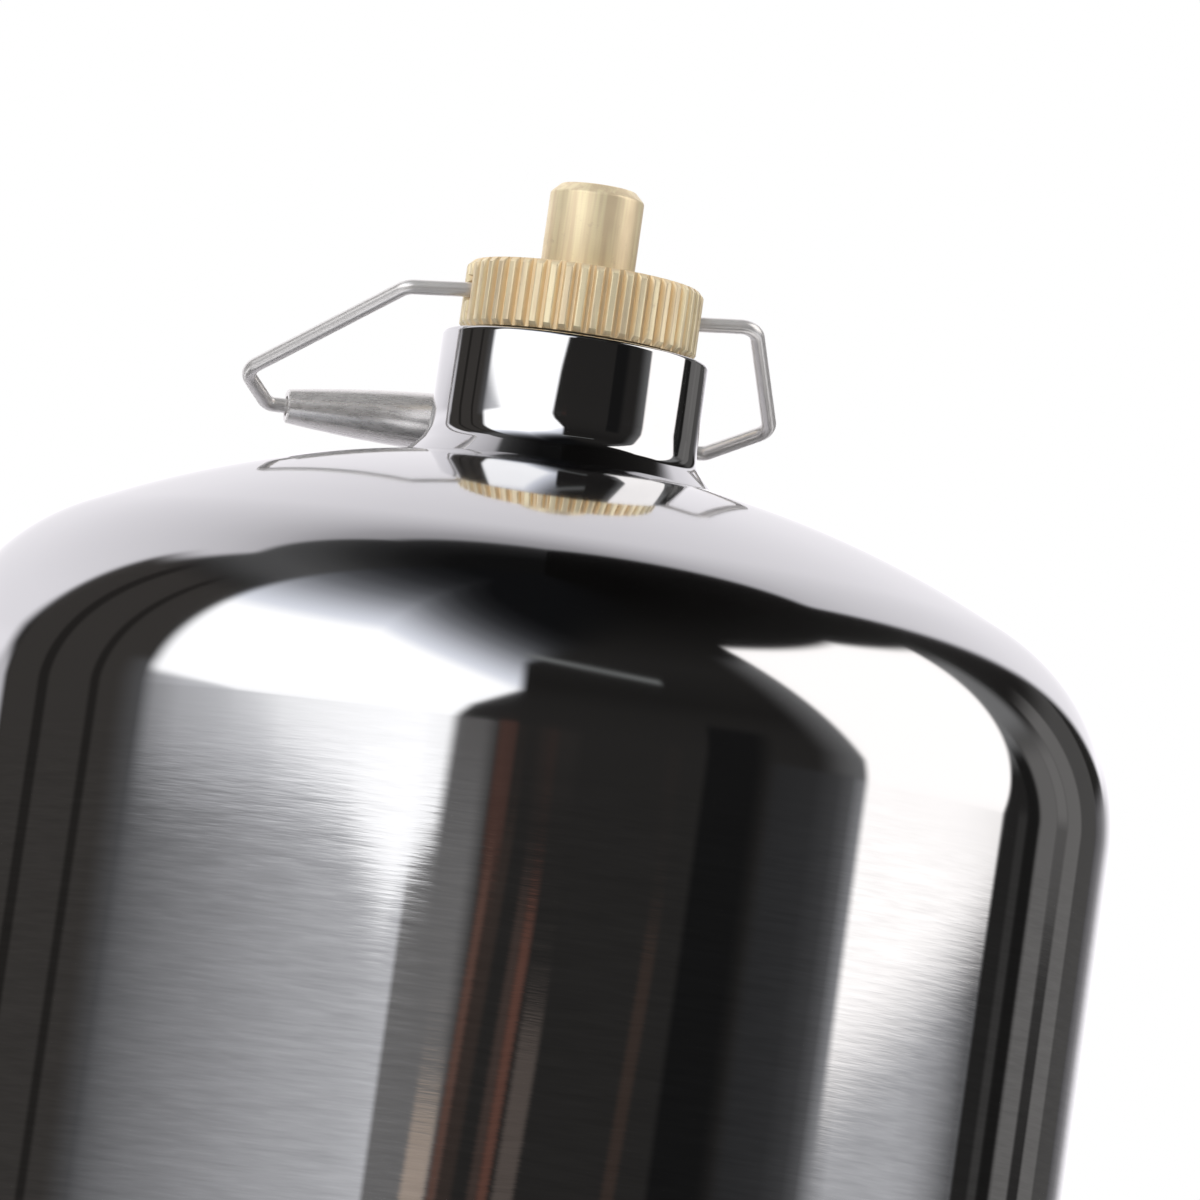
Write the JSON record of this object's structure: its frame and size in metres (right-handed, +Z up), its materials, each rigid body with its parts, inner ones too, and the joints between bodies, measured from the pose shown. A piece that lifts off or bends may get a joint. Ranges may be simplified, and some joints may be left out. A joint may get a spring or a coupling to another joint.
{
  "type": "refillable gas canister",
  "caption": "Round-shouldered stainless steel pressure vessel on a foot ring, with a knurled brass valve gland, a screwed brass cap and a hinged wire bail with a barrel grip.",
  "frame": {"origin": "on the vessel's axis at the floor, in the plane of the foot ring's lower face", "axes": "+Z up along the vessel's axis; the bail's hinge runs along X and at rest the bail leans back to +Y against the neck collar"},
  "size_m": [0.16, 0.16, 0.2334],
  "materials": {
    "polished_steel": "mirror-polished stainless steel, finely brushed round the straight wall",
    "brushed_steel": "stainless steel, finely brushed round the axis",
    "weld_steel": "weld bead, dull and slightly rough",
    "wire_steel": "drawn stainless steel, satin",
    "brass": "machined brass with fine tool lines",
    "spring_steel": "drawn spring steel, smooth",
    "black_rubber": "matt black rubber",
    "white_polymer": "white low-friction polymer",
    "sintered_bronze": "porous sintered bronze"
  },
  "bodies": {
    "vessel": {"upper_shell": "polished_steel", "lower_shell": "brushed_steel", "girth_weld": "weld_steel", "foot_ring": "brushed_steel", "foot_weld": "weld_steel", "neck_collar": "polished_steel", "neck_weld": "weld_steel", "valve_gasket": "white_polymer", "valve_body": "brass", "valve_spring": "spring_steel", "spring_retainer": "brass", "filter_disc": "sintered_bronze", "tube_nut": "brass", "dip_tube": "wire_steel"},
    "gland_lift": {"gland_washer": "black_rubber"},
    "gland": {"knurled_ring": "brass"},
    "bail": {"bail_wire": "wire_steel"},
    "grip": {"bail_grip": "wire_steel"},
    "poppet": {"valve_poppet": "spring_steel", "poppet_seal": "black_rubber"},
    "cap_lift": {"cap_gasket": "black_rubber"},
    "cap": {"dust_cap": "brass"}
  },
  "joints": [
    {"name": "gland_rise", "type": "slide", "parent": "vessel", "child": "gland_lift", "axis": [0, 0, 1], "range_m": [0, 0.006]},
    {"name": "gland_turn", "type": "hinge", "parent": "gland_lift", "child": "gland", "pos_m": [0, 0, 0.2121], "axis": [0, 0, 1], "range_deg": [0, 1440]},
    {"name": "bail_swing", "type": "hinge", "parent": "gland", "child": "bail", "pos_m": [0, 0, 0.2173], "axis": [1, 0, 0], "range_deg": [0, 249.6]},
    {"name": "grip_spin", "type": "hinge", "parent": "bail", "child": "grip", "pos_m": [-0.00515, 0.02279, 0.20146], "axis": [0.9968, -0.0659, 0.0458], "continuous": true},
    {"name": "poppet_push", "type": "slide", "parent": "vessel", "child": "poppet", "axis": [0, 0, -1], "range_m": [0, 0.0015], "stiffness_N_per_m": 600, "springref_m": -0.002, "deforming": ["valve_spring"]},
    {"name": "cap_rise", "type": "slide", "parent": "vessel", "child": "cap_lift", "axis": [0, 0, 1], "range_m": [0, 0.005]},
    {"name": "cap_turn", "type": "hinge", "parent": "cap_lift", "child": "cap", "pos_m": [0, 0, 0.2212], "axis": [0, 0, 1], "range_deg": [0, 1440]}
  ],
  "couplings": [
    {"joint": "gland_turn", "follows": "gland_rise", "rad_per_m": 4188.8},
    {"joint": "cap_turn", "follows": "cap_rise", "rad_per_m": 5026.5}
  ]
}
